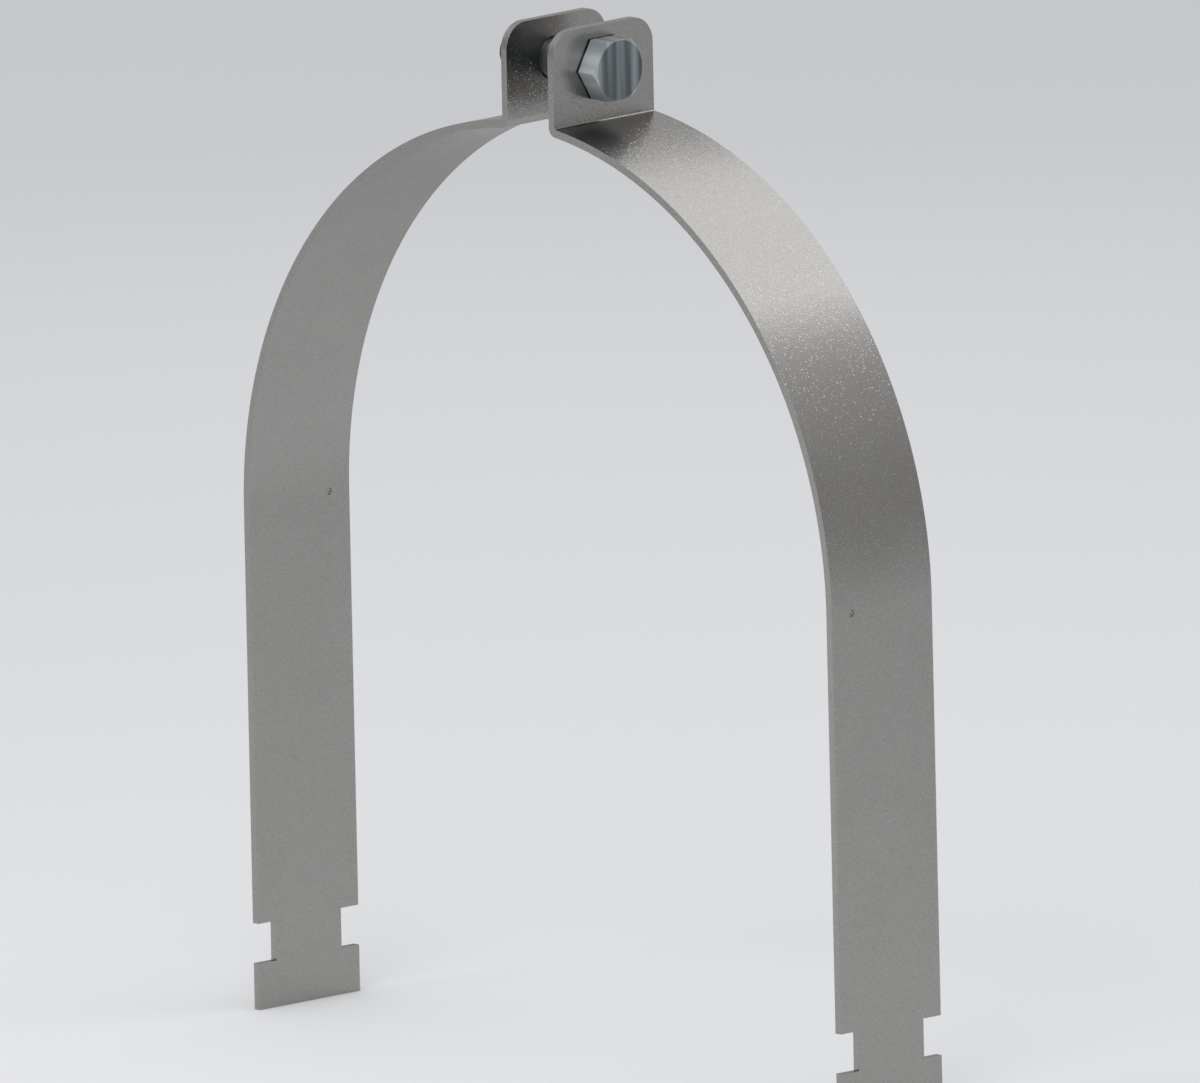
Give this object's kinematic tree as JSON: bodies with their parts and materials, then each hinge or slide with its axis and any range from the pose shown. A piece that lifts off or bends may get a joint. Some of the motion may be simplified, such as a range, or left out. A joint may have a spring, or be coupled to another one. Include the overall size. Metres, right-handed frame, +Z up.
{
  "type": "strut duct hanger",
  "caption": "Two-piece bent strap clamp that closes round a round duct with a hex bolt and nut, with T feet that hook into strut channel.",
  "frame": {"origin": "midway between the undersides of the two feet, in the middle of the strap width", "axes": "+Z up the legs to the ears, +X from the left strap to the right strap along the bolt, +Y along the duct, across the strap width"},
  "size_m": [0.2052, 0.0318, 0.2479],
  "materials": {
    "strap_steel": "dull galvanised sheet, fine grain",
    "zinc_fastener": "bright zinc plate, bluish"
  },
  "bodies": {
    "right_strap": {"right_strap": "strap_steel"},
    "hex_bolt": {"hex_bolt": "zinc_fastener"},
    "left_strap": {"left_strap": "strap_steel"},
    "hex_nut": {"hex_nut": "zinc_fastener"}
  },
  "joints": [
    {"name": "strap_swivel", "type": "hinge", "parent": "right_strap", "child": "hex_bolt", "pos_m": [0, 0, 0.2376], "axis": [1, 0, 0], "continuous": true},
    {"name": "strap_close", "type": "slide", "parent": "hex_bolt", "child": "left_strap", "axis": [1, 0, 0], "range_m": [-0.0053, 0.014]},
    {"name": "nut_turn", "type": "hinge", "parent": "left_strap", "child": "hex_nut", "pos_m": [-0.01, 0, 0.2376], "axis": [1, 0, 0], "range_deg": [-1205, 3180]}
  ],
  "couplings": [
    {"joint": "nut_turn", "follows": "strap_close", "rad_per_m": 3957.9}
  ]
}
